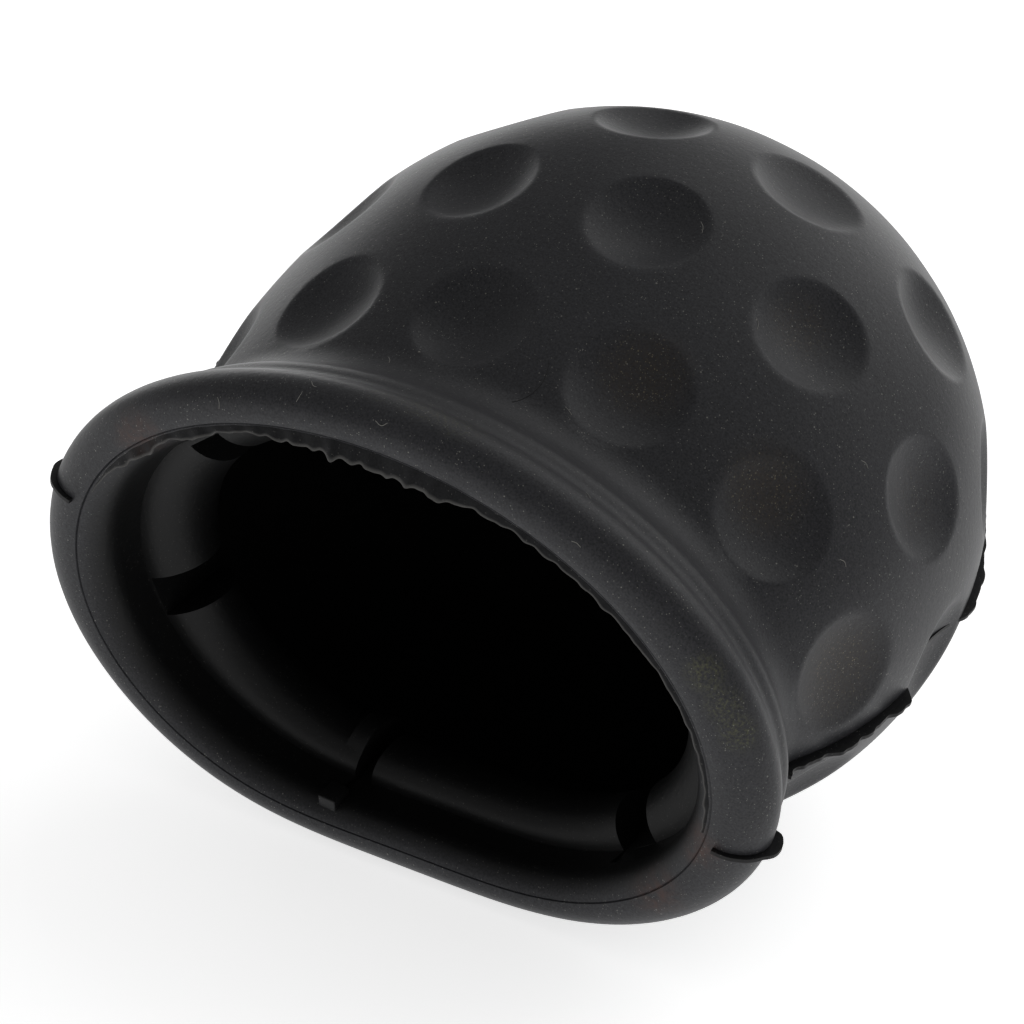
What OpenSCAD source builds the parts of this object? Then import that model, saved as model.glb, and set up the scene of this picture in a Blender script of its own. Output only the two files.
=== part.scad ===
// Tow ball cover: a soft rubber cap with a dimpled dome, lying on its side.
// The cap is drawn as it leaves its mould, a round shell about its own axis,
// and each section is then pressed oval towards the mouth.
// In the cap's own frame the mouth faces -Y and the top of the dome is at +Y.

/* [Dome] */
// Diameter of the dome
dome_d = 70; // [66:1:80]
// Length from the front of the mouth to the top of the dome
cap_l = 74.5; // [70:0.5:84]
// Distance of the neck, where the skirt ends, from the front of the mouth
neck_y = 14.8; // [13.6:0.2:16]
// Thickness of the rubber wall
wall = 3.2; // [2.4:0.2:4]
// How far the neck, as wide inside as the mouth, stands in from the dome's widest part
neck_in = 5.3; // [4.3:0.1:6.5]

/* [Mouth] */
// Thickness of the rolled bead round the mouth
bead_t = 6.4; // [5.4:0.2:7]
// Thickness of the lower roll behind the bead
roll_t = 4.6; // [4:0.2:5.4]
// Distance of the lower roll's middle from the front of the mouth
roll_y = 7.2; // [6.6:0.2:8]
// How much lower the roll stands than the bead
roll_drop = 1.2; // [0.6:0.2:2]
// Radius of the hollow between the roll and the skirt
neck_fillet = 5; // [4:1:9]
// Radius of the crease between the bead and the roll
crease_fillet = 0.6; // [0.4:0.2:1]

/* [Pressed shape] */
// Share by which the mouth is wider and lower than round
press = 0.16; // [0:0.02:0.22]
// Distance from the mouth at which half of the pressing has gone
press_fade = 34; // [26:1:45]
// Angle between the parting plane and the mouth's wide axis
press_turn = 12; // [0:1:20]
// Height by which the whole mouth is pushed up
mouth_lift = 2; // [0:0.1:3]
// Further height of the upper lip's middle
lip_crown = 2; // [0:0.1:3]
// Depth of the dent in the middle of the lower lip
lip_dent = 3.4; // [0:0.2:5]
// Half width of the dent as a share of the lip's half width
dent_share = 0.5; // [0.4:0.05:0.7]
// Distance from the mouth over which the lips come back to the oval
lip_fade = 16; // [12:1:22]
// How far one end of the mouth stands forward of the other
mouth_skew = 1.4; // [0:0.1:2]
// Angle by which the other end of the mouth is turned up
mouth_slip = 6; // [0:1:8]

/* [Dimples] */
// Diameter of each dimple's rim
dimple_d = 11.4; // [9:0.2:13]
// Depth of each dimple below its rim
dimple_depth = 1.2; // [0.8:0.1:1.6]
// Distance of the first ring of dimples from the mouth
dimple_start = 20.2; // [19:0.2:23]
// Distance of the last ring of dimples from the top of the dome
dimple_end = 9.2; // [8.8:0.2:12]

/* [Retaining ring] */
// How far the half-round ring stands in from the wall
ring_t = 4; // [2.5:0.5:4.5]
// Distance of the ring's middle from the front of the mouth
ring_y = 10; // [9.6:0.2:11.4]
// Width of the four notches through the ring
notch_w = 4.2; // [3:0.2:6]
// Angle of the notches from the parting plane
notch_angle = 26; // [20:1:36]
// Width of the slot near the middle of each lip
slot_w = 1.8; // [1.2:0.2:2.4]
// Angle of the slots from the parting plane
slot_angle = 94; // [88:1:100]
// Width of the flat bar beside each slot, and of its stub on the bead
bar_w = 1.9; // [1.4:0.1:2.6]

/* [Mould flash] */
// Height of the thin fin along the parting plane
fin_h = 0.9; // [0.4:0.1:1.4]
// Thickness of the fin
fin_t = 0.7; // [0.5:0.1:1]
// Length of the ragged film that hangs from the mould line on the upper lip
film_l = 2; // [1:0.1:2.6]
// Thickness of the film
film_t = 0.5; // [0.4:0.1:0.8]
// Angle of the mould line on the bead, from its front towards the mouth
film_at = 18; // [10:1:30]

/* [Hidden] */
// Columns of the shell's mesh round the axis
columns = 72;
// Angle between the stations of a large arc
arc_step = 7.5;
// Dimples in each ring, from the skirt to the top of the dome
ring_counts = [12, 12, 12, 8, 4];
// A small step along a surface, for its direction
tiny = 0.2;
// How far a part reaches into the rubber that carries it
sink = 0.8;
// How far the bars stand above the ring, and their stubs above the bead
bar_rise = 0.2;
stub_rise = 0.7;
// Length of the stubs, and their place as a share of the bead's radius
stub_l = 2.4;
stub_place = 0.7;
// Height of the mould line's ridge, and the direction in which the film hangs
ridge_h = 0.15;
film_dir = -160;
// Where the film is longest, how far that reaches, and its length elsewhere
film_mid = 98;
film_spread = 24;
film_least = 0.38;
film_ragged = 0.25;

dome_r = dome_d / 2;
mouth_r = dome_r - wall - neck_in;
bead_r = bead_t / 2;
roll_r = roll_t / 2;
dome_y = cap_l - dome_r;
dome_c = [0, dome_y];

// The skirt leaves the dome at its widest and comes in to the neck
skirt_r = (pow(dome_y - neck_y, 2) + pow(neck_in, 2)) / (2 * neck_in);
skirt_c = [dome_r - skirt_r, dome_y];
bead_c = [mouth_r + bead_r, bead_r];
roll_c = [mouth_r + bead_t - roll_drop - roll_r, roll_y];
ring_c = [mouth_r, ring_y];

// Centres of the arcs that join two circles, and where the skirt ends
neck_c = meet(skirt_c, skirt_r + neck_fillet, roll_c, roll_r + neck_fillet, 1);
crease_c = meet(roll_c, roll_r + crease_fillet, bead_c, bead_r + crease_fillet, 1);
neck_end = bearing(skirt_c, neck_c);
slots = [-slot_angle, 180 - slot_angle];

// Sphere that hollows a dimple of the given rim and depth out of the dome
dimple_rim = dimple_d / 2;
dimple_r = (dimple_rim * dimple_rim + dimple_depth * dimple_depth) / (2 * dimple_depth);
dimple_out = dimple_r - dimple_depth - (dome_r - sqrt(dome_r * dome_r - dimple_rim * dimple_rim));

// Distance of the first and the last ring from the dome's widest part, along the
// section, and the step from ring to ring
first_u = -skirt_r * asin((dome_y - dimple_start) / skirt_r) * PI / 180;
last_u = dome_r * PI / 2 - dimple_end;
pitch = (last_u - first_u) / (len(ring_counts) - 1);

// Directions from the bead's middle to the front and the back of the film's root
film_from = -90 - film_at - 1;
film_to = film_from - film_t / bead_r * 180 / PI;

// Angles of the shell's columns. Four of them draw each fin, and each carries
// the share of the fin's height that it stands out by.
fin_in = fin_t / 2 / dome_r * 180 / PI;
fin_side = 2 * fin_in;
column_list = [
    for (i = [0:columns - 1])
        let (a = i * 360 / columns)
            each (a == 0 || a == 180)
                ? [[a - fin_side, 0], [a - fin_in, 1], [a + fin_in, 1], [a + fin_side, 0]]
                : [[a, 0]]
];

// Where the circles about a and b meet, on the side that the sign chooses
function meet(a, ra, b, rb, sign) =
    let (
        v = b - a,
        d = norm(v),
        along = (d * d + ra * ra - rb * rb) / (2 * d),
        aside = sqrt(ra * ra - along * along),
        u = v / d
    )
    a + along * u + sign * aside * [-u[1], u[0]];

// Direction from one point to another
function bearing(from, to) = atan2(to[1] - from[1], to[0] - from[0]);

// The same angle, turned by whole turns into the range above or below a start
function above(angle, start) = angle < start ? angle + 360 : angle;
function below(angle, start) = angle > start ? angle - 360 : angle;

// Stations of an arc as [radius, y, direction of the outside, share of the fin,
// share of the film]
function arc(c, r, from, to, out, fin) =
    let (n = max(2, ceil(abs(to - from) / (r > 2 * bead_r ? arc_step : 3 * arc_step))))
    [
        for (i = [0:n])
            let (a = from + (to - from) * i / n)
                [c[0] + r * cos(a), c[1] + r * sin(a), out > 0 ? a : a + 180, fin, 0]
    ];

// The section of the round cap, from the top of the dome outside to the top inside
function outside() =
    let (
        neck_from = bearing(neck_c, skirt_c),
        neck_to = above(bearing(neck_c, roll_c), neck_from),
        roll_from = bearing(roll_c, neck_c),
        roll_to = below(bearing(roll_c, crease_c), roll_from),
        crease_from = bearing(crease_c, roll_c),
        crease_to = above(bearing(crease_c, bead_c), crease_from),
        bead_from = bearing(bead_c, crease_c)
    )
    concat(
        arc(dome_c, dome_r, 90, 0, 1, 1),
        rest_of(arc(skirt_c, skirt_r, 0, neck_end, 1, 1)),
        rest_of(arc(neck_c, neck_fillet, neck_from, neck_to, -1, 1)),
        rest_of(arc(roll_c, roll_r, roll_from, roll_to, 1, 1)),
        rest_of(arc(crease_c, crease_fillet, crease_from, crease_to, -1, 1)),
        rest_of(arc(bead_c, bead_r, bead_from, -90 - film_at, 1, 1)),
        [for (a = [film_from, film_to]) concat(bead_c + bead_r * [cos(a), sin(a)], [a, 0, 1])],
        arc(bead_c, bead_r, film_to, -180, 1, 0)
    );
function inside() =
    concat(
        arc(ring_c, ring_t, -90, -270, 1, 0),
        arc(skirt_c, skirt_r - wall, neck_end, 0, -1, 0),
        rest_of(arc(dome_c, dome_r - wall, 0, 90, -1, 0))
    );
function rest_of(list) = [for (i = [1:len(list) - 1]) list[i]];

// A point of the round cap, given as radius and distance from the mouth at the
// angle s from the parting plane, where the pressing leaves it
function pressed(radius, y, s) =
    let (
        depth = max(y, 0),
        wide = press / (1 + pow(depth / press_fade, 3)),
        near = exp(-pow(depth / lip_fade, 1.5)),
        q = s - press_turn - mouth_slip * near * (1 - cos(s)) / 2,
        a = q + wide / 2 * sin(2 * q) * 180 / PI,
        low = sin(a) < 0 ? 1 : 0,
        dent = low * lip_dent * exp(-pow(cos(a) / dent_share, 2)),
        push = mouth_lift + lip_crown * max(sin(a), 0) + dent
    )
    [
        radius * (1 + wide) * cos(a),
        y + mouth_skew * near * cos(a),
        radius * (1 - wide) * sin(a) + near * push
    ];

// Length of the film at the angle s: ragged, longest near the middle of the upper
// lip, and only a low ridge below the parting plane
function film(s) =
    let (
        upper = 1 - pow(1 - max(sin(s), 0), 4),
        tongue = exp(-pow((s - film_mid) / film_spread, 2)),
        ragged = 1 + film_ragged * sin(5 * s) * sin(13 * s)
    )
    ridge_h + film_l * upper * (film_least + (1 - film_least) * tongue) * ragged;

// The same point for a station of the section, raised where the fin runs and
// drawn out in towards the axis where the film hangs
function station_point(st, column) =
    let (h = fin_h * st[3] * column[1], f = film(column[0]) * st[4])
    pressed(
        st[0] + h * cos(st[2]) + f * cos(film_dir),
        st[1] + h * sin(st[2]) + f * sin(film_dir),
        column[0]
    );

// The outer skin at a distance u along the section from the widest part of the dome
function skin(u, s) =
    let (
        r = u < 0 ? skirt_r : dome_r,
        c = u < 0 ? skirt_c : dome_c,
        a = u / r * 180 / PI
    )
    pressed(c[0] + r * cos(a), c[1] + r * sin(a), s);
function skin_normal(u, s) =
    let (n = cross(skin(u + tiny, s) - skin(u - tiny, s), skin(u, s + tiny) - skin(u, s - tiny)))
    n / norm(n);

section = concat(outside(), inside());
body_rows = [for (st = section) if (st[0] > tiny) st];
shell_points = concat(
    [pressed(0, cap_l, 0)],
    [for (st = body_rows) for (column = column_list) station_point(st, column)],
    [pressed(0, cap_l - wall, 0)]
);

// The cap lies on its lower lip and on its dome. The lip rests on its edge, and
// the tilt is the steepest line from there to the underside of the dome.
underside = [for (p = shell_points) if (p[2] < 0 && p[1] > 2 * bead_t) p];
lip_low = min([for (p = shell_points) if (p[1] < bead_t) p[2]]);
function tilt_from(p) = max([for (q = underside) atan2(p[1] - q[2], q[1] - p[0])]);
first_tilt = tilt_from([bead_r, lip_low]);
rest_tilt = tilt_from(
    [bead_r * (1 - sin(first_tilt)), lip_low + bead_r * (1 - cos(first_tilt))]
);
function tilted(p) =
    [p[0], p[1] * cos(rest_tilt) - p[2] * sin(rest_tilt), p[1] * sin(rest_tilt) + p[2] * cos(rest_tilt)];
lying = [for (p = shell_points) tilted(p)];
function middle(list) = (min(list) + max(list)) / 2;
shift = -[
    middle([for (p = lying) p[0]]),
    middle([for (p = lying) p[1]]),
    min([for (p = lying) p[2]])
];

// The pressed shell, swept as rings of faces with a fan at each end
module shell() {
    n = len(column_list);
    m = len(body_rows);
    last = n * m + 1;
    faces = concat(
        [for (j = [0:n - 1]) [0, 1 + j, 1 + (j + 1) % n]],
        [
            for (i = [0:m - 2]) for (j = [0:n - 1])
                let (a = 1 + i * n, b = a + n, k = (j + 1) % n)
                    each [[a + j, b + j, b + k], [a + j, b + k, a + k]]
        ],
        [for (j = [0:n - 1]) [last, last - n + (j + 1) % n, last - n + j]]
    );
    polyhedron(points = shell_points, faces = faces);
}

// Rings of shallow round hollows, every other ring set half a step round
module dimples() {
    for (k = [0:len(ring_counts) - 1]) {
        count = ring_counts[k];
        u = first_u + k * pitch;
        for (i = [0:count - 1]) {
            s = (i + (k % 2 == 0 ? 0.5 : 0)) * 360 / count;
            translate(skin(u, s) + dimple_out * skin_normal(u, s))
                sphere(r = dimple_r, $fn = 64);
        }
    }
}

// Puts its children on the inner wall at the angle s, with +X out through the wall
module on_wall(y, s) {
    p = pressed(mouth_r, y, s);
    side = pressed(mouth_r, y, s + tiny) - pressed(mouth_r, y, s - tiny);
    translate(p)
        rotate([0, -atan2(-side[0], side[2]), 0])
            children();
}

// A block across the retaining ring, of the given width
module ring_cut(width, s) {
    on_wall(ring_y, s)
        translate([-2 * ring_t, -1.5 * ring_t, -width / 2])
            cube([2 * ring_t - sink / 2, 3 * ring_t - sink, width]);
}

// Four notches beside the parting plane and a slot in the middle of each lip
module ring_cuts() {
    for (side = [0, 180], turn = [-notch_angle, notch_angle])
        ring_cut(notch_w, side + turn);
    for (s = slots)
        ring_cut(slot_w, s);
}

// A flat bar that follows the ring beside each slot, and a stub in line on the bead
module slot_bars() {
    for (s = slots) {
        on_wall(ring_y, s)
            translate([0, 0, -slot_w / 2 - bar_w])
                intersection() {
                    cylinder(r = ring_t + bar_rise, h = bar_w, $fn = 48);
                    translate([-2 * ring_t, -2 * ring_t, 0])
                        cube([2 * ring_t + sink, 4 * ring_t, bar_w]);
                }
        on_wall(stub_place * bead_r, s)
            translate([-stub_rise, -stub_l / 2, -bar_w / 2])
                cube([stub_rise + sink, stub_l, bar_w]);
    }
}

module cover() {
    color([0.07, 0.07, 0.075])
        translate(shift)
            rotate([rest_tilt, 0, 0]) {
                difference() {
                    shell();
                    dimples();
                    ring_cuts();
                }
                slot_bars();
            }
}

cover();
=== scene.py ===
import bpy
import math
import random
from mathutils import Matrix, Vector
from mathutils.bvhtree import BVHTree
from mathutils.kdtree import KDTree


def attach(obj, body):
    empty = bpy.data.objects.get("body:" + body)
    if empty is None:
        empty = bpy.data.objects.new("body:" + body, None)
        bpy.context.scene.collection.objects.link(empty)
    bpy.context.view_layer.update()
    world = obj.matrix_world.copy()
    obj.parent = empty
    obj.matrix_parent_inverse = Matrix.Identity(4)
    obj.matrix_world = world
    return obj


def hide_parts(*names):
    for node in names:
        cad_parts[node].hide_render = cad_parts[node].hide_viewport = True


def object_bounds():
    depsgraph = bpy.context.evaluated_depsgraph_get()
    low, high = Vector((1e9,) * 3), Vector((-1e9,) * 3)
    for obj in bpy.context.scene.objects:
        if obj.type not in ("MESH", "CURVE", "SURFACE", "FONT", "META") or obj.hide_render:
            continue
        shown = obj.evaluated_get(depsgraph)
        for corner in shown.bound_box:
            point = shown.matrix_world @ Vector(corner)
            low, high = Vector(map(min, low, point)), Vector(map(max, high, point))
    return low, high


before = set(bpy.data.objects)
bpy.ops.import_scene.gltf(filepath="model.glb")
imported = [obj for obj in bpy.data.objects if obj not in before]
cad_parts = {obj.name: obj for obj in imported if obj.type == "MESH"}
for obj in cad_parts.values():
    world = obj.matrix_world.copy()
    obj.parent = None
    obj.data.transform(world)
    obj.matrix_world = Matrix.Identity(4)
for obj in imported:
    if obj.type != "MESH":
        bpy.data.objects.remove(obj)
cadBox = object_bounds()
print("frame loaded")

# lengths in millimetres in the cap's own frame: mouth at y = 0, dome towards +Y
cap = {
    "domeR": 35.0, "length": 74.5, "neckY": 14.8, "wall": 3.2,
    "mouthR": 26.5, "beadR": 3.2, "rollR": 2.3, "rollY": 7.2, "rollDrop": 1.2,
    "neckFillet": 6.0, "creaseFillet": 2.2,
    "press": 0.16, "pressFade": 34.0, "pressTurn": 12.0, "mouthSlip": 6.0,
    "lift": 2.0, "crown": 2.0, "dent": 3.4, "dentShare": 0.5, "lipFade": 16.0, "skew": 1.4,
    "ringR": 4.0, "ringY": 10.0,
    # direction of the mould line from the bead's middle, half its width in degrees, its depth
    "mouldLine": (-108.0, 1.9, 0.14),
    "columns": 240, "rowStep": 0.9, "innerStep": 1.8, "weld": 0.004, "smoothTo": 32,
    # how far up the bead's inner side the inner wall's painted shade runs out, and over what width
    "paintedShadeFrom": 1.9, "paintedShadeWidth": 1.6,
    "restTilt": 15.9867, "restShift": (-0.02277, -32.3946, 21.1477),
}
neckIn = cap["domeR"] - cap["mouthR"] - cap["wall"]
cap["skirtR"] = ((cap["length"] - cap["domeR"] - cap["neckY"]) ** 2 + neckIn ** 2) / (2 * neckIn)
mm = 0.001


def deselectAll():
    if bpy.context.mode != "OBJECT":
        bpy.ops.object.mode_set(mode="OBJECT")
    bpy.ops.object.select_all(action="DESELECT")


def makeActive(piece):
    deselectAll()
    piece.select_set(True)
    bpy.context.view_layer.objects.active = piece


def meetCircles(a, ra, b, rb, side):
    # where two circles cross, on the side that the sign gives
    d = (b - a).length
    along = (d * d + ra * ra - rb * rb) / (2 * d)
    aside = math.sqrt(ra * ra - along * along)
    u = (b - a) / d
    return a + along * u + side * aside * Vector((-u.y, u.x))


def bearing(a, b):
    return math.degrees(math.atan2(b.y - a.y, b.x - a.x))


def arcPoints(centre, radius, start, end, step):
    count = max(3, math.ceil(abs(math.radians(end - start)) * radius / step))
    points = []
    for i in range(count + 1):
        a = math.radians(start + (end - start) * i / count)
        points.append(Vector((centre.x + radius * math.cos(a), centre.y + radius * math.sin(a))))
    return points


def capSection():
    # the round cap's section from the top of the dome, round the mouth, to the top inside
    c = cap
    domeC = Vector((0, c["length"] - c["domeR"]))
    skirtC = Vector((c["domeR"] - c["skirtR"], domeC.y))
    beadC = Vector((c["mouthR"] + c["beadR"], c["beadR"]))
    rollC = Vector((c["mouthR"] + 2 * c["beadR"] - c["rollDrop"] - c["rollR"], c["rollY"]))
    ringC = Vector((c["mouthR"], c["ringY"]))
    neck, crease = c["neckFillet"], c["creaseFillet"]
    neckC = meetCircles(skirtC, c["skirtR"] + neck, rollC, c["rollR"] + neck, 1)
    creaseC = meetCircles(rollC, c["rollR"] + crease, beadC, c["beadR"] + crease, 1)
    step = c["rowStep"]
    neckTo = bearing(neckC, rollC)
    neckFrom = bearing(neckC, skirtC)
    if neckTo < neckFrom:
        neckTo += 360
    rollFrom = bearing(rollC, neckC)
    rollTo = bearing(rollC, creaseC)
    if rollTo > rollFrom:
        rollTo -= 360
    creaseFrom = bearing(creaseC, rollC)
    creaseTo = bearing(creaseC, beadC)
    if creaseTo < creaseFrom:
        creaseTo += 360
    neckEnd = bearing(skirtC, neckC)
    line, half, deep = c["mouldLine"]
    along = Vector((math.cos(math.radians(line)), math.sin(math.radians(line))))
    arcs = [
        arcPoints(domeC, c["domeR"], 90, 0, step),
        arcPoints(skirtC, c["skirtR"], 0, neckEnd, step),
        arcPoints(neckC, neck, neckFrom, neckTo, 0.6 * step),
        arcPoints(rollC, c["rollR"], rollFrom, rollTo, 0.4 * step),
        arcPoints(creaseC, crease, creaseFrom, creaseTo, 0.3 * step),
        arcPoints(beadC, c["beadR"], bearing(beadC, creaseC), line + half, 0.5 * step),
        [beadC + (c["beadR"] - deep) * along],
        arcPoints(beadC, c["beadR"], line - half, -180, 0.5 * step),
        arcPoints(ringC, c["ringR"], -90, -270, 0.7 * step),
        arcPoints(skirtC, c["skirtR"] - c["wall"], neckEnd, 0, c["innerStep"]),
        arcPoints(domeC, c["domeR"] - c["wall"], 0, 90, c["innerStep"]),
    ]
    points = []
    for arc in arcs:
        for p in arc:
            if not points or (p - points[-1]).length > 0.02:
                points.append(p)
    points[0].x = 0
    points[-1].x = 0
    return points


def pressPoint(radius, y, s):
    # s in degrees from the parting plane
    c = cap
    depth = max(y, 0)
    wide = c["press"] / (1 + (depth / c["pressFade"]) ** 3)
    near = math.exp(-((depth / c["lipFade"]) ** 1.5))
    slip = c["mouthSlip"] * near * (1 - math.cos(math.radians(s))) / 2
    q = math.radians(s - c["pressTurn"] - slip)
    a = q + wide / 2 * math.sin(2 * q)
    push = c["lift"] + c["crown"] * max(math.sin(a), 0)
    if math.sin(a) < 0:
        push += c["dent"] * math.exp(-((math.cos(a) / c["dentShare"]) ** 2))
    return Vector((
        radius * (1 + wide) * math.cos(a),
        y + c["skew"] * near * math.cos(a),
        radius * (1 - wide) * math.sin(a) + near * push,
    ))


tilt = math.radians(cap["restTilt"])
restMatrix = Matrix.Translation(Vector(cap["restShift"])) @ Matrix.Rotation(tilt, 4, "X")


def atRest(p):
    return (restMatrix @ p) * mm


def drawSection(points, name):
    # one vertex, extruded along the section point by point; it stays in edit mode
    deselectAll()
    bpy.ops.mesh.primitive_plane_add(size=0.01, location=(0, 0, 0))
    piece = bpy.context.object
    piece.name = name
    bpy.ops.object.mode_set(mode="EDIT")
    bpy.ops.mesh.select_all(action="SELECT")
    bpy.ops.mesh.merge(type="CENTER")
    bpy.ops.transform.translate(value=(points[0].x, points[0].y, 0))
    for a, b in zip(points, points[1:]):
        step = {"value": (b.x - a.x, b.y - a.y, 0)}
        bpy.ops.mesh.extrude_region_move(TRANSFORM_OT_translate=step)
    return piece


def faceOutwards():
    # the last step in edit mode
    bpy.ops.mesh.select_all(action="SELECT")
    bpy.ops.mesh.normals_make_consistent(inside=False)
    bpy.ops.object.mode_set(mode="OBJECT")


def spinSection(points, name, steps):
    piece = drawSection(points, name)
    bpy.ops.mesh.select_all(action="SELECT")
    bpy.ops.mesh.spin(steps=steps, angle=2 * math.pi, center=(0, 0, 0), axis=(0, 1, 0))
    bpy.ops.mesh.select_all(action="SELECT")
    bpy.ops.mesh.remove_doubles(threshold=cap["weld"])
    faceOutwards()
    return piece


def paintedShadeShare(radius, y):
    # share of painted shade: 1 on the inner wall, 0 on the outer skin, and in between over the bead's
    # inner lip
    c = cap
    half = c["wall"] / 2
    domeY = c["length"] - c["domeR"]
    if y > domeY:
        return float(math.hypot(radius, y - domeY) < c["domeR"] - half)
    if y > c["neckY"]:
        skin = c["domeR"] - c["skirtR"] + math.sqrt(c["skirtR"] ** 2 - (y - domeY) ** 2)
        return float(radius < skin - half)
    return min(1.0, max(0.0, (c["mouthR"] + c["paintedShadeFrom"] - radius) / c["paintedShadeWidth"]))


paintedShadeSeeds = []


def makeShell():
    piece = spinSection(capSection(), "cover_shell", cap["columns"])
    for v in piece.data.vertices:
        radius = math.hypot(v.co.x, v.co.z)
        share = paintedShadeShare(radius, v.co.y)
        v.co = pressPoint(radius, v.co.y, math.degrees(math.atan2(v.co.z, v.co.x)))
        paintedShadeSeeds.append((v.co.copy(), share))
    return piece


shell = makeShell()
print("shell spun and pressed:", len(shell.data.polygons), "faces")


dimples = {
    "rim": 5.7, "depth": 1.2, "start": 20.2, "end": 9.2, "counts": (12, 12, 12, 8, 4),
    "rimRadius": 1.6, "rimRise": 4.0, "rimReach": 1.2, "lensTop": 0.8, "step": 0.8, "segments": 64,
    # outside the rim: width over which the lens goes over to the skin, height the rays start at
    "blend": 1.2, "rayFrom": 6.0,
}


def skinPoint(u, s):
    # the outer skin at a distance u along the section from the widest part of the dome
    c = cap
    domeY = c["length"] - c["domeR"]
    radius, centreX = (c["skirtR"], c["domeR"] - c["skirtR"]) if u < 0 else (c["domeR"], 0)
    a = u / radius
    return pressPoint(centreX + radius * math.cos(a), domeY + radius * math.sin(a), s)


def skinNormal(u, s, d=0.2):
    alongU = skinPoint(u + d, s) - skinPoint(u - d, s)
    alongS = skinPoint(u, s + d) - skinPoint(u, s - d)
    return alongU.cross(alongS).normalized()


def dimplePlaces():
    # ring, number in the ring, distance along the section and angle of each dimple
    c, d = cap, dimples
    firstU = -c["skirtR"] * math.asin((c["length"] - c["domeR"] - d["start"]) / c["skirtR"])
    lastU = c["domeR"] * math.pi / 2 - d["end"]
    pitch = (lastU - firstU) / (len(d["counts"]) - 1)
    places = []
    for k, count in enumerate(d["counts"]):
        shift = 0.5 if k % 2 == 0 else 0
        for i in range(count):
            places.append((k, i, firstU + k * pitch, (i + shift) * 360 / count))
    return places


def makeLens():
    # a spun cutter: a hollow sphere's bottom, a rounded rim that runs out over the
    # dome's surface, and a flat top a little above it
    d = dimples
    sphereR = (d["rim"] ** 2 + d["depth"] ** 2) / (2 * d["depth"])
    rise = cap["domeR"] - math.sqrt(cap["domeR"] ** 2 - d["rim"] ** 2)
    ball = Vector((0, sphereR - d["depth"] - rise))
    dome = Vector((0, -cap["domeR"]))
    rim = meetCircles(ball, sphereR + d["rimRadius"], dome, cap["domeR"] - d["rimRadius"], 1)
    wall = bearing(rim, ball)
    edge = bearing(dome, rim) + d["rimRise"]
    points = arcPoints(ball, sphereR, -90, bearing(ball, rim), d["step"])
    points += arcPoints(rim, d["rimRadius"], wall, edge, 0.25 * d["step"])[1:]
    away = math.radians(edge - 90)
    points.append(points[-1] + d["rimReach"] * Vector((math.cos(away), math.sin(away))))
    points.append(Vector((points[-1].x, d["lensTop"])))
    points.append(Vector((0, d["lensTop"])))
    lens = spinSection(points, "dimple_lens", d["segments"])
    lens.data.transform(Matrix.Rotation(math.pi / 2, 4, "X"))
    return lens


def copyTo(model, matrix):
    made = model.copy()
    made.data = model.data.copy()
    made.data.transform(matrix)
    bpy.context.collection.objects.link(made)
    return made


def joinAll(pieces, name):
    makeActive(pieces[0])
    for piece in pieces:
        piece.select_set(True)
    if len(pieces) > 1:
        bpy.ops.object.join()
    made = bpy.context.view_layer.objects.active
    made.name = name
    return made


def cutAway(piece, cutter, operation="DIFFERENCE", solver="MANIFOLD"):
    # one boolean, applied, and the cutter thrown away
    makeActive(piece)
    modifier = piece.modifiers.new("cut", "BOOLEAN")
    modifier.operation = operation
    modifier.solver = solver
    modifier.object = cutter
    bpy.ops.object.modifier_apply(modifier=modifier.name)
    bpy.data.objects.remove(cutter, do_unlink=True)


def frameOf(origin, up, side=Vector((0, 1, 0))):
    # a placing matrix with local Z along up
    x = side.cross(up).normalized()
    y = up.cross(x)
    m = Matrix((x, y, up)).transposed().to_4x4()
    m.translation = origin
    return m


def skinRise(u, s, inverse):
    # how the skin falls away round a point, in the lens's own frame:
    # z = a * x * x + b * x * y + c * y * y, from eight points about it
    d = dimples["rim"]
    turn = math.degrees(d / (skinPoint(u, s).xz.length + 1))
    rows = []
    for du, ds in ((1, 0), (-1, 0), (0, 1), (0, -1),
                   (0.7, 0.7), (-0.7, 0.7), (0.7, -0.7), (-0.7, -0.7)):
        q = inverse @ skinPoint(u + du * d, s + ds * turn)
        rows.append((q.x * q.x, q.x * q.y, q.y * q.y, q.z))
    # least squares by the normal equations
    m = Matrix([[sum(r[i] * r[j] for r in rows) for j in range(3)] for i in range(3)])
    return m.inverted() @ Vector([sum(r[i] * r[3] for r in rows) for i in range(3)])


def drapeLens(lens, u, s, skin):
    # a copy of the lens on the skin, bent so that its rim follows the pressed dome
    d = dimples
    up = skinNormal(u, s)
    place = frameOf(skinPoint(u, s), up, Vector((0.3, 0.2, 0.93)))
    inverse = place.inverted()
    a, b, c = skinRise(u, s, inverse)
    flat = -0.5 / cap["domeR"]
    copy = copyTo(lens, Matrix.Identity(4))
    for v in copy.data.vertices:
        x, y = v.co.x, v.co.y
        bend = a * x * x + b * x * y + c * y * y
        past = min(1, (math.hypot(x, y) - d["rim"]) / d["blend"])
        if past > 0:
            # the outer rim follows the skin itself, also where it rises into the neck
            hit = skin.ray_cast(place @ Vector((x, y, d["rayFrom"])), -up)[0]
            if hit:
                bend += past * ((inverse @ hit).z - bend)
        v.co.z += bend - flat * (x * x + y * y)
    copy.data.transform(place)
    return copy


def cutDimples(piece):
    lens = makeLens()
    skin = BVHTree.FromObject(piece, bpy.context.evaluated_depsgraph_get())
    last = len(dimples["counts"]) - 1
    # every second ring at a time, and every second dimple of the last, so that no two touch
    for parity in (0, 1):
        cutters = [drapeLens(lens, u, s, skin) for k, i, u, s in dimplePlaces()
                   if (i if k == last else k) % 2 == parity]
        cutAway(piece, joinAll(cutters, "dimple_cutter"))
    bpy.data.objects.remove(lens, do_unlink=True)


cutDimples(shell)
print("dimples cut:", len(shell.data.polygons), "faces")


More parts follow.
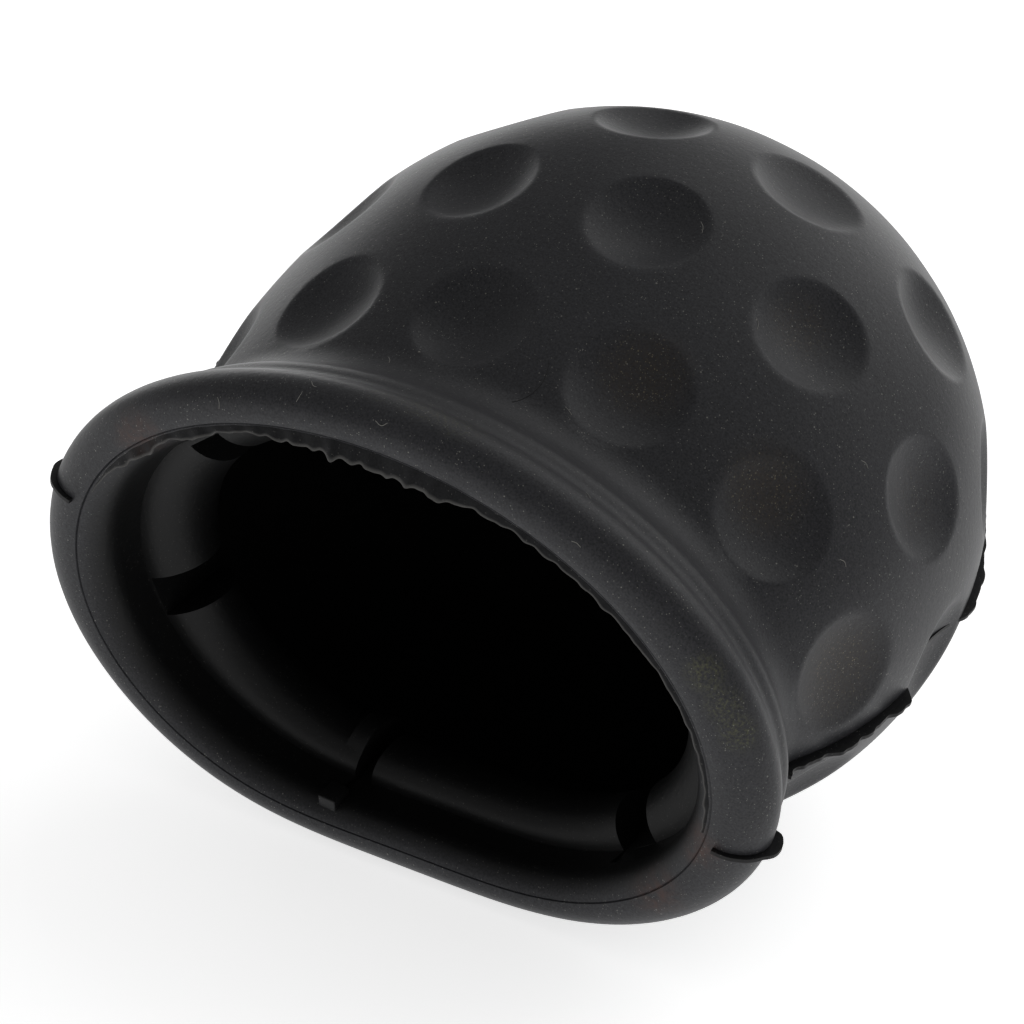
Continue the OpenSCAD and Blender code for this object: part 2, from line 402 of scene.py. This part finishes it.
mouthRing = {
    "notchWidth": 4.2, "notchAngle": 26.0, "slotWidth": 1.8, "slotAngle": 94.0, "sink": 0.4,
    "barWidth": 1.9, "barRise": 0.2, "stubLength": 2.4, "stubRise": 0.7, "stubPlace": 0.7,
    # how far the bars and stubs stand in the wall, the stubs' rounding, the cuts' shorter inner end
    "inWall": 0.8, "stubRound": 0.15, "cutShort": 0.8,
}


def wallFrame(y, s):
    # local X out through the wall, local Y along the cap, at the mouth's inner wall
    p = pressPoint(cap["mouthR"], y, s)
    along = (pressPoint(cap["mouthR"], y, s + 0.2) - pressPoint(cap["mouthR"], y, s - 0.2)).normalized()
    yAxis = Vector((0, 1, 0))
    along = (along - along.dot(yAxis) * yAxis).normalized()
    m = Matrix((yAxis.cross(along), yAxis, along)).transposed().to_4x4()
    m.translation = p
    return m


def makeBlock(low, high, bevel=0.0):
    # a box between two corners, with its edges rounded
    deselectAll()
    size = Vector(high) - Vector(low)
    bpy.ops.mesh.primitive_cube_add(size=1, location=(Vector(high) + Vector(low)) / 2, scale=size)
    block = bpy.context.object
    bpy.ops.object.transform_apply(location=True, rotation=False, scale=True)
    if bevel:
        bpy.ops.object.mode_set(mode="EDIT")
        bpy.ops.mesh.select_all(action="SELECT")
        bpy.ops.mesh.bevel(offset=bevel, segments=4, affect="EDGES")
        bpy.ops.object.mode_set(mode="OBJECT")
    return block


def placeBlock(block, matrix):
    block.data.transform(matrix)
    return block


def cutRing(piece):
    # four notches, then two slots
    r = mouthRing
    deep = 2 * cap["ringR"]
    reach = 1.5 * cap["ringR"]
    cuts = [(side + turn, r["notchWidth"]) for side in (0, 180)
            for turn in (-r["notchAngle"], r["notchAngle"])]
    cuts += [(s, r["slotWidth"]) for s in (-r["slotAngle"], 180 - r["slotAngle"])]
    blocks = []
    for s, width in cuts:
        block = makeBlock((-deep, -reach, -width / 2), (-r["sink"], reach - r["cutShort"], width / 2))
        blocks.append(placeBlock(block, wallFrame(cap["ringY"], s)))
    cutAway(piece, joinAll(blocks, "ring_cutter"))


def makeBar():
    # a flat bar that follows the half-round ring beside a slot
    r = mouthRing
    deselectAll()
    radius = cap["ringR"] + r["barRise"]
    bpy.ops.mesh.primitive_cylinder_add(vertices=96, radius=radius, depth=r["barWidth"])
    bar = bpy.context.object
    bpy.ops.object.mode_set(mode="EDIT")
    bpy.ops.mesh.select_all(action="SELECT")
    bpy.ops.mesh.bisect(plane_co=(r["inWall"], 0, 0), plane_no=(1, 0, 0), use_fill=True, clear_outer=True)
    faceOutwards()
    return bar


def addBars(piece):
    r = mouthRing
    for s in (-r["slotAngle"], 180 - r["slotAngle"]):
        m = wallFrame(cap["ringY"], s)
        away = -(r["slotWidth"] + r["barWidth"]) / 2
        bar = makeBar()
        bar.data.transform(m @ Matrix.Translation((0, 0, away)))
        cutAway(piece, bar, "UNION")
        w = r["barWidth"] / 2
        h = r["stubLength"] / 2
        stub = makeBlock((-r["stubRise"], -h, -w), (r["inWall"], h, w), r["stubRound"])
        placeBlock(stub, wallFrame(r["stubPlace"] * cap["beadR"], s))
        cutAway(piece, stub, "UNION")


cutRing(shell)
addBars(shell)
print("ring notched:", len(shell.data.polygons), "faces")


def markPaintedShade(piece):
    # the share of painted shade on each vertex, from the nearest point of the uncut shell
    tree = KDTree(len(paintedShadeSeeds))
    for i, (place, share) in enumerate(paintedShadeSeeds):
        tree.insert(place, i)
    tree.balance()
    layer = piece.data.attributes.new("inside", "FLOAT", "POINT")
    domeY = cap["length"] - cap["domeR"]
    for v in piece.data.vertices:
        share = paintedShadeSeeds[tree.find(v.co)[1]][1]
        # a dimple's bottom lies near the inner wall, but it faces outwards, so it gets no painted shade
        if v.co.y > cap["neckY"] + 2 and v.normal.dot(v.co - Vector((0, min(v.co.y, domeY), 0))) > 0:
            share = 0
        layer.data[v.index].value = share


def finishCover(piece):
    # to the rest pose and to metres
    makeActive(piece)
    piece.data.transform(Matrix.Scale(mm, 4) @ restMatrix)
    piece.data.update()
    bpy.ops.object.mode_set(mode="EDIT")
    bpy.ops.mesh.select_all(action="SELECT")
    bpy.ops.mesh.remove_doubles(threshold=1e-6)
    faceOutwards()
    bpy.ops.object.shade_smooth_by_angle(angle=math.radians(cap["smoothTo"]))


markPaintedShade(shell)
finishCover(shell)
shell.name = "rubber_cover"


film = {
    "at": -107.0, "direction": -160.0, "thickness": 0.16, "sink": 0.35, "columns": 720, "rows": 5,
    # angle from the parting plane and length of the film there; the film spans these angles
    "lengths": ((2, 0.35), (12, 0.45), (24, 0.5), (42, 0.65), (60, 0.8), (68, 0.8), (77, 1.1),
                (86, 1.95), (93, 2.2), (103, 1.95), (112, 1.85), (121, 1.35), (130, 0.8), (144, 1.1),
                (151, 0.7), (157, 1.3), (163, 0.9), (169, 0.4), (176, 0.15)),
    # dark is how much painted shade the film gets, as it hangs in shadow under the bead
    "shortest": 0.05, "ragged": 0.07, "curl": 0.12, "seed": 11, "dark": 0.75,
}


def between(keys, x):
    if x <= keys[0][0]:
        return keys[0][1]
    for (x0, y0), (x1, y1) in zip(keys, keys[1:]):
        if x <= x1:
            t = (x - x0) / (x1 - x0)
            return y0 + (y1 - y0) * t * t * (3 - 2 * t)
    return keys[-1][1]


def ripples(seed, waves):
    # a wavy line from a few sines with seeded starts: (waves per degree, height)
    rng = random.Random(seed)
    starts = [rng.uniform(0, 2 * math.pi) for _ in waves]

    def line(x):
        return sum(h * math.sin(2 * math.pi * f * x + p) for (f, h), p in zip(waves, starts))
    return line


def makeStrip(name, columns, rows, place, dark, edgeHighlight):
    # a grid whose two sides are mapped by place(across 0..1, out 0..1), with the inner
    # wall's painted shade all over and a painted highlight at its outer edge
    deselectAll()
    bpy.ops.mesh.primitive_grid_add(x_subdivisions=columns, y_subdivisions=rows, size=2)
    strip = bpy.context.object
    strip.name = name
    for label in ("edge", "inside"):
        strip.data.attributes.new(label, "FLOAT", "POINT")
    for v in strip.data.vertices:
        out = (v.co.y + 1) / 2
        strip.data.attributes["edge"].data[v.index].value = edgeHighlight * float(out > 0.99)
        strip.data.attributes["inside"].data[v.index].value = dark
        v.co = place((v.co.x + 1) / 2, out)
    return strip


def finishStrip(strip, thickness):
    makeActive(strip)
    strip.data.transform(Matrix.Scale(mm, 4) @ restMatrix)
    modifier = strip.modifiers.new("thickness", "SOLIDIFY")
    modifier.thickness = thickness * mm
    modifier.offset = 0
    bpy.ops.object.modifier_apply(modifier=modifier.name)
    bpy.ops.object.mode_set(mode="EDIT")
    faceOutwards()
    bpy.ops.object.shade_smooth_by_angle(angle=math.radians(40))
    return strip


def makeFilm():
    f = film
    edge = ripples(f["seed"], ((0.09, 0.8), (0.17, 0.8), (0.24, 0.9), (0.41, 0.3)))
    wave = ripples(f["seed"] + 1, ((0.05, 0.5), (0.12, 0.5), (0.22, 0.5)))
    bead = Vector((cap["mouthR"] + cap["beadR"], cap["beadR"]))
    a = math.radians(f["at"])
    d = math.radians(f["direction"])
    root = bead + (cap["beadR"] - f["sink"]) * Vector((math.cos(a), math.sin(a)))
    first, last = f["lengths"][0][0], f["lengths"][-1][0]

    def place(across, out):
        s = first + (last - first) * across
        length = between(f["lengths"], s) * (1 + f["ragged"] * edge(s))
        reach = out * (f["sink"] + max(length, f["shortest"]))
        p = root + reach * Vector((math.cos(d), math.sin(d)))
        p.y += f["curl"] * wave(s) * out * length
        return pressPoint(p.x, p.y, s)

    strip = makeStrip("lip_film", f["columns"], f["rows"], place, f["dark"], 1.0)
    return finishStrip(strip, f["thickness"])


fin = {
    # dark is how much painted shade the fin gets; the key after it is the faint painted highlight on its
    # outer edge
    "thickness": 0.4, "sink": 0.5, "height": 0.9, "ragged": 0.26, "dark": 0.75, "edgeHighlight": 0.1,
    "columns": 420, "rows": 3, "seed": 5,
    # on the bead: height, height of the tip at each end and where it stands, height behind it
    "beadHeight": 0.5, "tipHeights": {0: 0.8, 180: 0.55}, "tipAt": 12.0, "tipSpread": 30.0,
    "behind": 0.1, "beadRagged": 0.1,
    # on the dome: distance from the top that it stops at, length of its slope and lowest share
    "stop": 0.5, "slope": 30.0, "lowest": 0.25,
    # at a dimple: width of the slope outside the rim, depth under the bottom
    "holeSlope": 1.1, "under": 0.15,
}


def makeFin(side):
    # a ragged fin along the parting plane, from the mould line on the bead to the dome's top
    f = fin
    section = capSection()
    front = min(range(len(section)), key=lambda i: section[i].y)
    line = section[front::-1]
    lengths = [0.0]
    for p, q in zip(line, line[1:]):
        lengths.append(lengths[-1] + (q - p).length)
    total = lengths[-1]
    toDome = total - math.pi / 2 * cap["domeR"]
    noise = ripples(f["seed"] + side, ((0.11, 0.7), (0.24, 0.5), (0.47, 0.28), (0.9, 0.1)))
    bead = Vector((cap["mouthR"] + cap["beadR"], cap["beadR"]))
    # the dimples that the parting plane runs through, as distances along the section
    holes = [u for k, i, u, s in dimplePlaces() if s == side]
    rim, depth = dimples["rim"], dimples["depth"]

    def place(across, out):
        at = across * (total - f["stop"])
        i = 1
        while lengths[i] < at:
            i += 1
        t = (at - lengths[i - 1]) / (lengths[i] - lengths[i - 1])
        p = line[i - 1].lerp(line[i], t)
        along = (line[i] - line[i - 1]).normalized()
        normal = Vector((along.y, -along.x))
        u = at - toDome
        h = f["height"] * (1 + f["ragged"] * noise(at))
        angle = bearing(bead, p)
        if p.y < cap["neckY"] - 2:
            tip = math.exp(-(((angle - f["tipAt"]) / f["tipSpread"]) ** 6))
            top = f["tipHeights"][side]
            h = f["beadHeight"] + (top - f["beadHeight"]) * tip
            if angle > f["tipAt"] or p.y > 2 * cap["beadR"]:
                h = f["behind"] + (top - f["behind"]) * tip * (p.y < 2 * cap["beadR"])
            h *= 1 + f["beadRagged"] * noise(at)
        if u > 0:
            h *= max(f["lowest"], 1 - u / f["slope"])
        root = f["sink"]
        for hole in holes:
            gap = abs(u - hole)
            if gap < rim + f["holeSlope"]:
                # under the dimple's bottom, and up to full height outside its rim
                below = -depth * (1 - (gap / rim) ** 2) - f["under"]
                h = min(h, (gap - rim) * h if gap > rim else below)
                root = depth + 1
        p = p + normal * (-root + out * (root + h))
        return pressPoint(max(p.x, 0), p.y, side)

    name = "parting_fin_%d" % side
    strip = makeStrip(name, f["columns"], f["rows"], place, f["dark"], f["edgeHighlight"])
    return finishStrip(strip, f["thickness"])


lipFilm = makeFilm()
fins = [makeFin(0), makeFin(180)]
print("film and fins made")


def newGroup(name, inputs):
    # a shader node group with one output, a mask
    group = bpy.data.node_groups.new(name, "ShaderNodeTree")
    for label, kind, value in inputs:
        socket = group.interface.new_socket(label, in_out="INPUT", socket_type=kind)
        if value is not None:
            socket.default_value = value
    group.interface.new_socket("Mask", in_out="OUTPUT", socket_type="NodeSocketFloat")
    start = group.nodes.new("NodeGroupInput")
    end = group.nodes.new("NodeGroupOutput")
    return group, start.outputs, end.inputs["Mask"]


def addNode(tree, kind, **settings):
    node = tree.nodes.new(kind)
    for key, value in settings.items():
        setattr(node, key, value)
    return node


def feed(tree, socket, value):
    # a link from another node, or a plain value
    if isinstance(value, bpy.types.NodeSocket):
        tree.links.new(value, socket)
    else:
        socket.default_value = value


def addMath(tree, operation, *values, clamp=False):
    node = addNode(tree, "ShaderNodeMath", operation=operation, use_clamp=clamp)
    for socket, value in zip(node.inputs, values):
        feed(tree, socket, value)
    return node.outputs[0]


# share of its radius inside which a patch is full, and how the noise breaks it: gain and offset
patches = {"full": 0.25, "gain": 2.5, "offset": 0.4}


def makePatch():
    # a soft round patch about a point, broken up by noise
    group, given, mask = newGroup("dirtPatch", (
        ("Vector", "NodeSocketVector", None), ("Centre", "NodeSocketVector", None),
        ("Radius", "NodeSocketFloat", 0.005), ("Noise", "NodeSocketFloat", 0.5),
        ("Cover", "NodeSocketFloat", 0.5)))
    away = addNode(group, "ShaderNodeVectorMath", operation="DISTANCE")
    feed(group, away.inputs[0], given["Vector"])
    feed(group, away.inputs[1], given["Centre"])
    fall = addNode(group, "ShaderNodeMapRange", interpolation_type="SMOOTHSTEP")
    feed(group, fall.inputs["From Min"], 1)
    feed(group, fall.inputs["From Max"], patches["full"])
    feed(group, fall.inputs["Value"], addMath(group, "DIVIDE", away.outputs["Value"], given["Radius"]))
    low = addMath(group, "SUBTRACT", 1.0, given["Cover"])
    broken = addMath(group, "SUBTRACT", given["Noise"], low)
    sharp = addMath(group, "MULTIPLY_ADD", broken, patches["gain"], patches["offset"], clamp=True)
    feed(group, mask, addMath(group, "MULTIPLY", fall.outputs["Result"], sharp))
    return group


def makeSpecks():
    # small round specks, one in some of the cells: 1 inside a speck
    group, given, mask = newGroup("dustSpecks", (
        ("Vector", "NodeSocketVector", None), ("Cells", "NodeSocketFloat", 1000.0),
        ("Share", "NodeSocketFloat", 0.3), ("Size", "NodeSocketFloat", 0.2)))
    cells = addNode(group, "ShaderNodeTexVoronoi", feature="F1", distance="EUCLIDEAN")
    feed(group, cells.inputs["Vector"], given["Vector"])
    feed(group, cells.inputs["Scale"], given["Cells"])
    split = addNode(group, "ShaderNodeSeparateColor")
    feed(group, split.inputs["Color"], cells.outputs["Color"])
    chosen = addMath(group, "LESS_THAN", split.outputs["Red"], given["Share"])
    radius = addMath(group, "MULTIPLY", split.outputs["Green"], given["Size"])
    within = addMath(group, "LESS_THAN", cells.outputs["Distance"], radius)
    feed(group, mask, addMath(group, "MULTIPLY", chosen, within))
    return group


rubber = {
    # the third colour here, inside, is a painted shade, darker than the skin, for the inner wall, the
    # film and the fins
    "dark": (0.0102, 0.0104, 0.012), "pale": (0.036, 0.0362, 0.0398), "inside": (0.0045, 0.0046, 0.0048),
    # edge is a painted highlight for the flash's ragged outer edges
    "edge": (0.09, 0.088, 0.085), "dust": (0.13, 0.127, 0.118), "specular": 0.22, "flashSpecular": 0.08,
    # two noises: scale, detail and share of the tone
    "mottle": (5200, 2, 1.9), "clouds": (60, 6, 0.7),
    "roughness": (0.42, 0.5),
    # bump: noise scale and detail, strength, height in metres
    "grain": (1800, 3, 0.25, 0.00012),
    # cells per metre, share of the cells with a speck, largest radius as a share of a cell
    "specks": ((6000, 0.16, 0.36), (3000, 0.05, 0.27), (1500, 0.03, 0.14)),
    "gritSpecks": (5000, 0.5, 0.4), "insideSpecks": 0.25,
    # noise that breaks up the dirt: detail and roughness for all, and each kind's scale
    "dirtDetail": (4, 0.65), "dirtNoise": 4000, "redNoise": 900, "yellowNoise": 3800,
    # dirt by dimple: ring, number, shift along the section and round it, radius, cover
    "dimpleDirt": ((0, 2, 2.5, 0, 5.5, 0.5), (0, 1, 1.5, 4, 5.5, 0.5), (1, 2, 0.5, 2, 4.5, 0.42),
                   (0, 0, 0, 0, 6.5, 0.5), (1, 1, 0, 0, 5, 0.36)),
    "brown": (0.036, 0.029, 0.023), "grit": (0.19, 0.163, 0.11),
    # dirt by place in the cap's frame, with its radius and cover
    "redDirt": ((-22.8, -0.8, 21.2, 4, 0.5), (31.5, 1.7, -4.3, 3.5, 0.52), (27.0, 1.4, -11.5, 4, 0.5)),
    "red": (0.06, 0.032, 0.026),
    "yellowDirt": ((33.0, 2.0, 15.0, 2.4, 0.4), (34.6, 2.2, 12.0, 2.4, 0.38), (35.8, 2.4, 9.4, 2.4, 0.38),
                   (8.6, 4.5, 30.2, 3, 0.32), (5.0, 4.7, 30.8, 3, 0.32), (1.5, 4.8, 31.2, 3, 0.3)),
    "yellow": (0.10, 0.10, 0.045),
}


def mixColour(tree, mask, under, over):
    node = addNode(tree, "ShaderNodeMix", data_type="RGBA")
    feed(tree, node.inputs["Factor"], mask)
    for name, value in (("A", under), ("B", over)):
        socket = [i for i in node.inputs if i.name == name and i.type == "RGBA"][0]
        feed(tree, socket, (*value, 1) if isinstance(value, tuple) else value)
    return [o for o in node.outputs if o.type == "RGBA"][0]


def addNoise(tree, coords, scale, detail, roughness=0.5):
    noise = addNode(tree, "ShaderNodeTexNoise")
    for label, value in (("Scale", scale), ("Detail", detail), ("Roughness", roughness),
                         ("Vector", coords.outputs["Object"])):
        feed(tree, noise.inputs[label], value)
    return noise.outputs["Fac"]


def addPatch(tree, coords, noise, place, radius, cover):
    patch = addNode(tree, "ShaderNodeGroup", node_tree=patchGroup)
    for label, value in (("Vector", coords.outputs["Object"]), ("Centre", place),
                         ("Radius", radius * mm), ("Noise", noise), ("Cover", cover)):
        feed(tree, patch.inputs[label], value)
    return patch.outputs["Mask"]


def addSpecks(tree, coords, cells, share, size):
    specks = addNode(tree, "ShaderNodeGroup", node_tree=speckGroup)
    for label, value in (("Vector", coords.outputs["Object"]), ("Cells", cells),
                         ("Share", share), ("Size", size)):
        feed(tree, specks.inputs[label], value)
    return specks.outputs["Mask"]


def newMaterial(name):
    material = bpy.data.materials.new(name)
    material.use_nodes = True
    return material, material.node_tree, material.node_tree.nodes["Principled BSDF"]


def addDirt(tree, coords, colour):
    # in the dimples, along the crease and at the ends of the film
    r = rubber
    noise = addNoise(tree, coords, r["dirtNoise"], *r["dirtDetail"])
    dirty = []
    for k, i, du, ds, radius, cover in r["dimpleDirt"]:
        u, s = [place[2:] for place in dimplePlaces() if place[:2] == (k, i)][0]
        place = atRest(skinPoint(u + du, s + ds) - dimples["depth"] * skinNormal(u, s))
        dirty.append(addPatch(tree, coords, noise, place, radius, cover))
        colour = mixColour(tree, dirty[-1], colour, r["brown"])
    grit = addSpecks(tree, coords, *r["gritSpecks"])
    for mask in dirty:
        colour = mixColour(tree, addMath(tree, "MULTIPLY", mask, grit), colour, r["grit"])
    for kind in ("red", "yellow"):
        noise = addNoise(tree, coords, r[kind + "Noise"], *r["dirtDetail"])
        for x, y, z, radius, cover in r[kind + "Dirt"]:
            mask = addPatch(tree, coords, noise, atRest(Vector((x, y, z))), radius, cover)
            colour = mixColour(tree, mask, colour, r[kind])
    return colour


def makeRubber(name, specular):
    r = rubber
    material, tree, shader = newMaterial(name)
    coords = addNode(tree, "ShaderNodeTexCoord")
    cloudScale, cloudDetail, cloudShare = r["clouds"]
    mottleScale, mottleDetail, mottleShare = r["mottle"]
    cloud = addNoise(tree, coords, cloudScale, cloudDetail)
    fine = addNoise(tree, coords, mottleScale, mottleDetail)
    # the two noises, spread about a half
    tone = addMath(tree, "MULTIPLY_ADD", fine, mottleShare, 0.5 * (1 - mottleShare - cloudShare))
    both = addMath(tree, "MULTIPLY_ADD", cloud, cloudShare, tone, clamp=True)
    colour = mixColour(tree, both, r["dark"], r["pale"])
    colour = addDirt(tree, coords, colour)

    # painted shade on the inner wall, the film and the fins, and fine dust, which the inner wall has
    # little of
    inside = addNode(tree, "ShaderNodeAttribute", attribute_name="inside").outputs["Fac"]
    outside = addMath(tree, "MULTIPLY_ADD", inside, r["insideSpecks"] - 1, 1)
    colour = mixColour(tree, inside, colour, r["inside"])
    for cells, share, size in r["specks"]:
        specks = addSpecks(tree, coords, cells, share, size)
        colour = mixColour(tree, addMath(tree, "MULTIPLY", specks, outside), colour, r["dust"])

    # a painted highlight along the thin ragged edges of the flash
    edge = addNode(tree, "ShaderNodeAttribute", attribute_name="edge")
    colour = mixColour(tree, edge.outputs["Fac"], colour, r["edge"])
    feed(tree, shader.inputs["Base Color"], colour)
    rough = addNode(tree, "ShaderNodeMapRange")
    feed(tree, rough.inputs["To Min"], r["roughness"][0])
    feed(tree, rough.inputs["To Max"], r["roughness"][1])
    feed(tree, rough.inputs["Value"], cloud)
    feed(tree, shader.inputs["Roughness"], rough.outputs["Result"])
    feed(tree, shader.inputs["Specular IOR Level"], specular)
    scale, detail, strength, height = r["grain"]
    bump = addNode(tree, "ShaderNodeBump")
    feed(tree, bump.inputs["Strength"], strength)
    feed(tree, bump.inputs["Distance"], height)
    feed(tree, bump.inputs["Height"], addNoise(tree, coords, scale, detail))
    feed(tree, shader.inputs["Normal"], bump.outputs["Normal"])
    return material


hairs = {
    "radius": 0.026, "pale": (0.2, 0.195, 0.18), "dark": (0.006, 0.006, 0.006), "roughness": 0.8,
    # height of a fibre's middle over the skin, as a share of its radius
    "clear": 0.4,
    # short fibres that lie on the skin, by points in the cap's frame
    "paleHairs": (
        ((-13.8, 0.0, 28.3), (-13.5, -0.2, 28.0), (-13.4, -0.4, 27.5)),
        ((-5.8, 3.0, 30.9), (-5.4, 1.1, 30.7), (-5.5, 0.5, 30.3)),
        ((-5.4, 2.7, 31.0), (-4.8, 2.2, 31.1), (-4.5, 2.2, 31.1)),
        ((2.4, 1.0, 30.7), (3.1, 0.9, 30.5), (3.5, 1.2, 30.7)),
        ((11.3, 15.8, 25.7), (11.7, 15.7, 25.5), (12.1, 15.5, 25.3)),
        ((-5.8, 13.9, 26.4), (-5.4, 13.5, 26.4), (-5.2, 13.1, 26.4)),
        ((11.0, 39.3, 30.9), (11.5, 38.8, 30.8), (11.8, 38.1, 30.7)),
        ((19.4, 6.3, 25.7), (20.1, 5.8, 25.8), (20.8, 4.6, 26.3)),
        ((21.2, 1.2, 24.9), (21.6, 1.3, 24.8), (22.0, 1.3, 24.5)),
        ((31.6, 31.1, 17.0), (31.9, 31.3, 16.7), (32.2, 31.2, 16.3)),
        ((19.9, 33.5, 26.9), (20.2, 33.3, 26.6), (20.5, 32.6, 26.4)),
        ((33.6, 23.5, 12.1), (33.9, 23.8, 11.7), (34.1, 23.7, 11.3)),
    ),
    "darkHairs": (
        ((7.3, 13.6, 26.1), (7.9, 14.6, 26.2), (8.3, 15.7, 26.4), (8.4, 17.2, 26.9), (7.9, 18.7, 27.4)),
    ),
    # grains by point and radius
    "grains": ((-3.3, 0.2, 27.6, 0.1), (-3.5, 15.3, 26.9, 0.11), (-15.8, 20.8, 24.2, 0.08),
               (12.9, 40.2, 30.9, 0.07), (14.4, 30.4, 29.0, 0.06), (36.1, 29.8, 8.6, 0.06)),
}


def makeHair(points):
    # a thin closed tube through points that are set down on the skin
    deselectAll()
    bpy.ops.curve.primitive_bezier_curve_add(location=(0, 0, 0))
    hair = bpy.context.object
    bpy.ops.object.mode_set(mode="EDIT")
    bpy.ops.curve.select_all(action="SELECT")
    bpy.ops.curve.subdivide(number_cuts=len(points) - 2)
    bpy.ops.object.mode_set(mode="OBJECT")
    for knot, p in zip(hair.data.splines[0].bezier_points, points):
        found, place, normal, face = shell.closest_point_on_mesh(atRest(Vector(p)))
        knot.handle_left_type = "AUTO"
        knot.handle_right_type = "AUTO"
        knot.co = place + hairs["clear"] * hairs["radius"] * mm * normal
    hair.data.bevel_depth = hairs["radius"] * mm
    hair.data.bevel_resolution = 2
    hair.data.use_fill_caps = True
    bpy.ops.object.convert(target="MESH")
    return hair


def makeGrain(x, y, z, radius):
    found, place, normal, face = shell.closest_point_on_mesh(atRest(Vector((x, y, z))))
    deselectAll()
    bpy.ops.mesh.primitive_ico_sphere_add(subdivisions=2, radius=radius * mm, location=place)
    bpy.ops.object.transform_apply(location=True, rotation=False, scale=False)
    return bpy.context.object


def hairMaterial(name, colour):
    material, tree, shader = newMaterial(name)
    feed(tree, shader.inputs["Base Color"], (*colour, 1))
    feed(tree, shader.inputs["Roughness"], hairs["roughness"])
    return material


def makeHairs():
    pale = [makeHair(points) for points in hairs["paleHairs"]]
    pale += [makeGrain(*grain) for grain in hairs["grains"]]
    dark = [makeHair(points) for points in hairs["darkHairs"]]
    made = []
    for fibres, name, colour in ((pale, "pale_fibres", hairs["pale"]),
                                 (dark, "dark_fibre", hairs["dark"])):
        piece = joinAll(fibres, name)
        piece.data.materials.clear()
        piece.data.materials.append(hairMaterial(name, colour))
        made.append(piece)
    return made


boxPlay = 0.00001


def fitBox(pieces):
    # the finer mesh swells a little over the box, so all of it is drawn in, side by side
    corners = [v.co for piece in pieces for v in piece.data.vertices]
    move = Matrix.Identity(4)
    for i in range(3):
        low = min(c[i] for c in corners)
        high = max(c[i] for c in corners)
        share = min(1, (cadBox[1][i] - cadBox[0][i] - boxPlay) / (high - low))
        move[i][i] = share
        move[i][3] = (cadBox[0][i] + cadBox[1][i] - share * (low + high)) / 2
    for piece in pieces:
        piece.data.transform(move)


speckGroup = makeSpecks()
patchGroup = makePatch()
bodyRubber = makeRubber("matteRubber", rubber["specular"])
flashRubber = makeRubber("flashRubber", rubber["flashSpecular"])
for piece in [shell, lipFilm] + fins:
    piece.data.materials.clear()
    piece.data.materials.append(bodyRubber if piece == shell else flashRubber)
pieces = [shell, lipFilm] + fins + makeHairs()
fitBox(pieces)
for piece in pieces:
    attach(piece, "root")
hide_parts("cover")
print("rubber, dust and dirt on")


room = {
    "floor": 0.9, "floorRoughness": 0.9, "floorSpecular": 0.1, "floorGlow": 0.7, "worldGlow": 0.31,
    "size": 6.0, "lampAim": (0, 0, 0.03),
    # name, right of the cap, behind it, height, size and power
    "lamps": (("left_back", -0.3, 1.3, 0.15, (0.8, 0.35), 2.2),
              ("right_back", 0.6, 1.15, 0.25, (0.9, 0.5), 2.0),
              ("right_side", 1.15, 0.5, 0.7, (1.4, 0.9), 3.0),
              ("high_back", 0.5, 0.4, 0.85, (1.2, 0.9), 2.8)),
    # the camera in the cap's frame: degrees, millimetres, focal length in pixels of a 1024 picture
    "azimuth": 36.429, "elevation": 37.407, "roll": -4.966, "distance": 308.38,
    "focal": 3222.845, "picture": 1024, "sensor": 36, "aim": 35.0, "slide": (-7.608, -1.58),
}


def makeFloor():
    deselectAll()
    bpy.ops.mesh.primitive_plane_add(size=room["size"], location=(0, 0, 0))
    floor = bpy.context.object
    floor.name = "pale_floor"
    material, tree, shader = newMaterial("paleFloor")
    grey = room["floor"]
    for label, value in (("Base Color", (grey, grey, grey, 1)), ("Roughness", room["floorRoughness"]),
                         ("Specular IOR Level", room["floorSpecular"]),
                         ("Emission Color", (1, 1, 1, 1)), ("Emission Strength", room["floorGlow"])):
        feed(tree, shader.inputs[label], value)
    floor.data.materials.append(material)


def areaLight(name, right, back, height, size, power):
    # placed to the right of the camera's line, back from the cap and above the floor
    a = math.radians(room["azimuth"])
    place = Vector((right * math.cos(a) - back * math.sin(a),
                    right * math.sin(a) + back * math.cos(a), height))
    deselectAll()
    bpy.ops.object.light_add(type="AREA", location=place)
    lamp = bpy.context.object
    lamp.name = name
    lamp.data.shape = "RECTANGLE"
    lamp.data.size = size[0]
    lamp.data.size_y = size[1]
    lamp.data.energy = power
    lamp.rotation_euler = (Vector(room["lampAim"]) - place).to_track_quat("-Z", "Y").to_euler()


def makeWorld():
    world = bpy.data.worlds.new("studio")
    bpy.context.scene.world = world
    world.use_nodes = True
    back = world.node_tree.nodes["Background"]
    back.inputs["Color"].default_value = (1, 1, 1, 1)
    back.inputs["Strength"].default_value = room["worldGlow"]


def makeCamera():
    r = room
    a, e, t = (math.radians(r[k]) for k in ("azimuth", "elevation", "roll"))
    back = Vector((math.sin(a) * math.cos(e), -math.cos(a) * math.cos(e), math.sin(e)))
    right = Vector((math.cos(a), math.sin(a), 0))
    up = back.cross(right)
    rolledRight = right * math.cos(t) + up * math.sin(t)
    rolledUp = -right * math.sin(t) + up * math.cos(t)
    target = Vector((0, r["aim"], 0)) + r["slide"][0] * right + r["slide"][1] * up
    place = target + r["distance"] * back
    turn = restMatrix.to_3x3() @ Matrix((rolledRight, rolledUp, back)).transposed()
    deselectAll()
    bpy.ops.object.camera_add()
    camera = bpy.context.object
    camera.matrix_world = Matrix.Translation(atRest(place)) @ turn.to_4x4()
    camera.data.sensor_width = r["sensor"]
    camera.data.lens = r["focal"] / r["picture"] * r["sensor"]
    camera.data.clip_start = 0.01
    bpy.context.scene.camera = camera


makeFloor()
makeWorld()
for lamp in room["lamps"]:
    areaLight(*lamp)
makeCamera()
bpy.context.scene.view_settings.view_transform = "Standard"
print("floor, lights and camera set")
